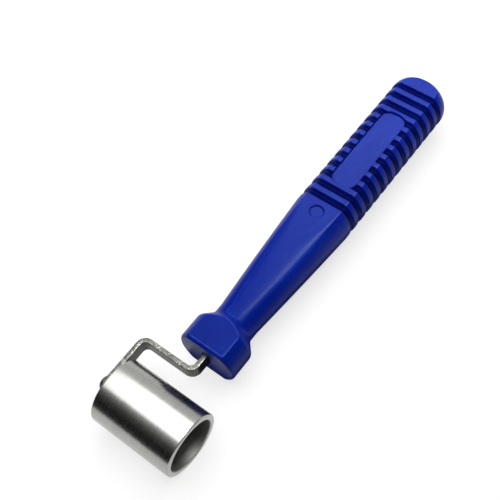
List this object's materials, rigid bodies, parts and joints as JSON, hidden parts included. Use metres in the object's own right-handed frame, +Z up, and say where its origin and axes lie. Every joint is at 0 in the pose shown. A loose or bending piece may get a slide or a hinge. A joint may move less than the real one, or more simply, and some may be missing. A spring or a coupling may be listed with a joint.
{
  "type": "seam roller",
  "caption": "Hand seam roller: a steel roller on ball bearings at the end of a bent flat steel arm, with a moulded blue plastic handle that has cross grooves and flats.",
  "frame": {"origin": "on the ground plane, under the middle of the bounding box", "axes": "+X along the roller's axis towards its open end, +Y along the handle from the roller to the tail, +Z up, square to the handle's flats"},
  "size_m": [0.0388, 0.18, 0.024],
  "materials": {
    "blue_plastic": "moulded plastic, semi-gloss, royal blue",
    "turned_steel": "bright turned steel with fine lathe lines round it",
    "strap_steel": "plain rolled steel strap with sheared edges",
    "bearing_steel": "ground and polished bearing steel",
    "shield_steel": "pressed sheet steel, satin",
    "clip_steel": "blackened spring steel",
    "cage_plastic": "moulded nylon, black"
  },
  "bodies": {
    "frame": {"handle": "blue_plastic", "arm": "strap_steel", "axle": "turned_steel", "spacer_sleeve": "shield_steel", "thrust_washer": "shield_steel", "e_clip": "clip_steel", "bearing_1_inner_ring": "bearing_steel", "bearing_2_inner_ring": "bearing_steel"},
    "roller": {"roller": "turned_steel", "bearing_1_outer_ring": "bearing_steel", "bearing_2_outer_ring": "bearing_steel", "bearing_1_arm_shield": "shield_steel", "bearing_1_open_shield": "shield_steel", "bearing_2_arm_shield": "shield_steel", "bearing_2_open_shield": "shield_steel"},
    "bearing_1_balls": {"bearing_1_cage": "cage_plastic", "bearing_1_ball_1": "bearing_steel", "bearing_1_ball_2": "bearing_steel", "bearing_1_ball_3": "bearing_steel", "bearing_1_ball_4": "bearing_steel", "bearing_1_ball_5": "bearing_steel", "bearing_1_ball_6": "bearing_steel", "bearing_1_ball_7": "bearing_steel"},
    "bearing_2_balls": {"bearing_2_cage": "cage_plastic", "bearing_2_ball_1": "bearing_steel", "bearing_2_ball_2": "bearing_steel", "bearing_2_ball_3": "bearing_steel", "bearing_2_ball_4": "bearing_steel", "bearing_2_ball_5": "bearing_steel", "bearing_2_ball_6": "bearing_steel", "bearing_2_ball_7": "bearing_steel"}
  },
  "joints": [
    {"name": "roller_spin", "type": "hinge", "parent": "frame", "child": "roller", "pos_m": [0.00295, -0.078, 0.012], "axis": [1, 0, 0], "continuous": true},
    {"name": "bearing_1_cage_spin", "type": "hinge", "parent": "frame", "child": "bearing_1_balls", "pos_m": [-0.00905, -0.078, 0.012], "axis": [1, 0, 0], "continuous": true},
    {"name": "bearing_2_cage_spin", "type": "hinge", "parent": "frame", "child": "bearing_2_balls", "pos_m": [0.00595, -0.078, 0.012], "axis": [1, 0, 0], "continuous": true}
  ],
  "couplings": [
    {"joint": "bearing_1_cage_spin", "follows": "roller_spin", "ratio": 0.624},
    {"joint": "bearing_2_cage_spin", "follows": "roller_spin", "ratio": 0.624}
  ]
}
